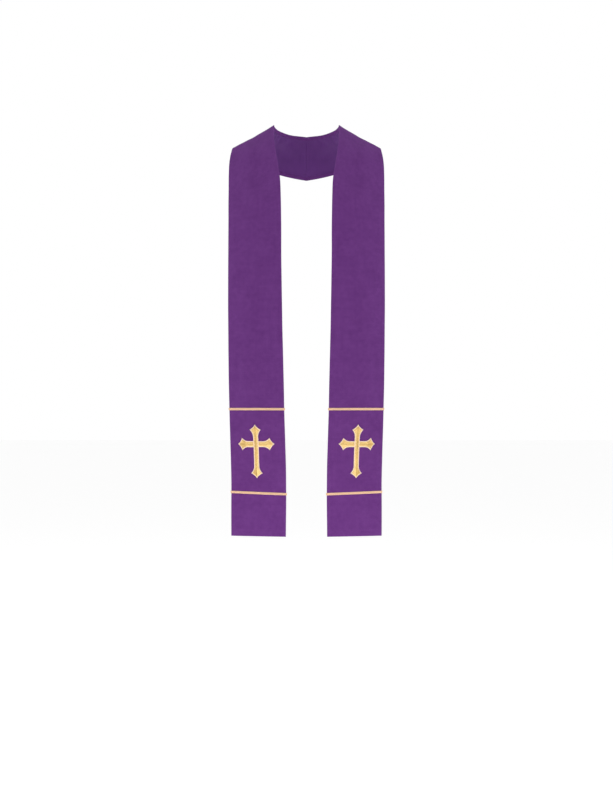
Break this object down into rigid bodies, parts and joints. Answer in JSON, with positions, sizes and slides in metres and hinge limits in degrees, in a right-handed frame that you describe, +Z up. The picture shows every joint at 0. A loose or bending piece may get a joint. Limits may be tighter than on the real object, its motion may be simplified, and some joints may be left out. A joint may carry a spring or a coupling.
{
  "type": "clerical stole",
  "caption": "Purple clerical stole as worn: a band of cloth round the back of the neck, over the shoulders and down the front, with gold braids and embroidered crosses.",
  "frame": {"origin": "the neck edge at the centre-back seam, where the stole rests on the back of the wearer's neck", "axes": "+Z up, the front faces -Y, +X towards the wearer's left"},
  "size_m": [0.402, 0.271, 1.0648],
  "materials": {
    "purple_cloth": "fine matt twill with a faint sheen",
    "gold_braid": "narrow plaited gold thread",
    "gold_embroidery": "satin stitch in gold thread"
  },
  "bodies": {
    "root": {"left_half": "purple_cloth", "right_half": "purple_cloth", "upper_trim_left": "gold_braid", "upper_trim_right": "gold_braid", "lower_trim_left": "gold_braid", "lower_trim_right": "gold_braid", "cross_left": "gold_embroidery", "cross_right": "gold_embroidery"}
  },
  "joints": []
}
